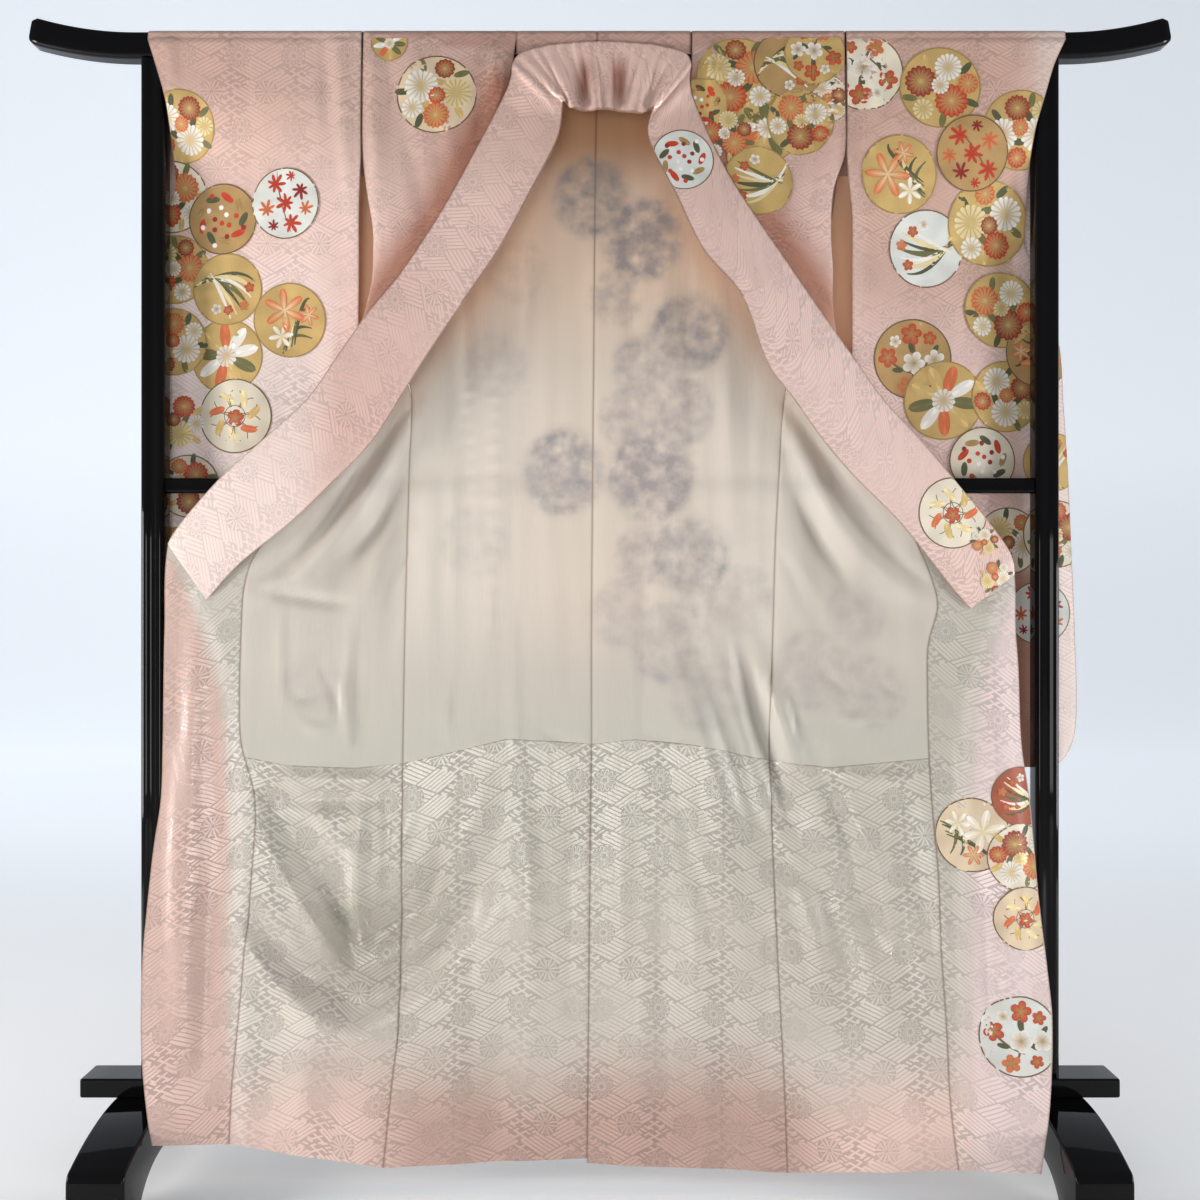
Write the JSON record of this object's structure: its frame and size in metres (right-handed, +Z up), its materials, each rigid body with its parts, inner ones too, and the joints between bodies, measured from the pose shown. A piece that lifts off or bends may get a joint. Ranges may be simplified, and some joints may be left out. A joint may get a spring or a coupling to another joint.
{
  "type": "furisode kimono on a kimono stand",
  "caption": "Long-sleeved pink silk furisode kimono with flower roundels, spread open on a black lacquered kimono stand so that its lining shows.",
  "frame": {"origin": "on the floor under the middle of the stand, midway between the feet and midway between front and back of the feet", "axes": "+X to the right as seen from the front, along the top rail; +Y away from the viewer, front to back; +Z up"},
  "size_m": [1.6366, 0.41, 1.654],
  "materials": {
    "pink_damask": "figured satin silk, pale salmon pink, with dyed and gold-painted flower roundels",
    "cream_lining": "plain cream silk lining, soft sheen",
    "hem_lining": "figured satin silk hem lining, cream graded to pink at the hem",
    "peach_lining": "plain peach silk sleeve lining",
    "black_lacquer": "polished black lacquer on wood"
  },
  "bodies": {
    "root": {"stand_top_rail": "black_lacquer", "stand_post_right": "black_lacquer", "stand_post_left": "black_lacquer", "stand_mid_rail": "black_lacquer", "stand_low_board": "black_lacquer", "stand_foot_right": "black_lacquer", "stand_foot_left": "black_lacquer", "back_right": "pink_damask", "front_right": "pink_damask", "okumi_right": "pink_damask", "sleeve_right": "pink_damask", "back_lining_right": "cream_lining", "front_lining_right": "cream_lining", "back_hakkake_right": "hem_lining", "front_hakkake_right": "hem_lining", "okumi_hakkake_right": "hem_lining", "sleeve_lining_right": "peach_lining", "back_left": "pink_damask", "front_left": "pink_damask", "okumi_left": "pink_damask", "sleeve_left": "pink_damask", "back_lining_left": "cream_lining", "front_lining_left": "cream_lining", "back_hakkake_left": "hem_lining", "front_hakkake_left": "hem_lining", "okumi_hakkake_left": "hem_lining", "sleeve_lining_left": "peach_lining", "collar": "pink_damask", "over_collar": "pink_damask"}
  },
  "joints": []
}
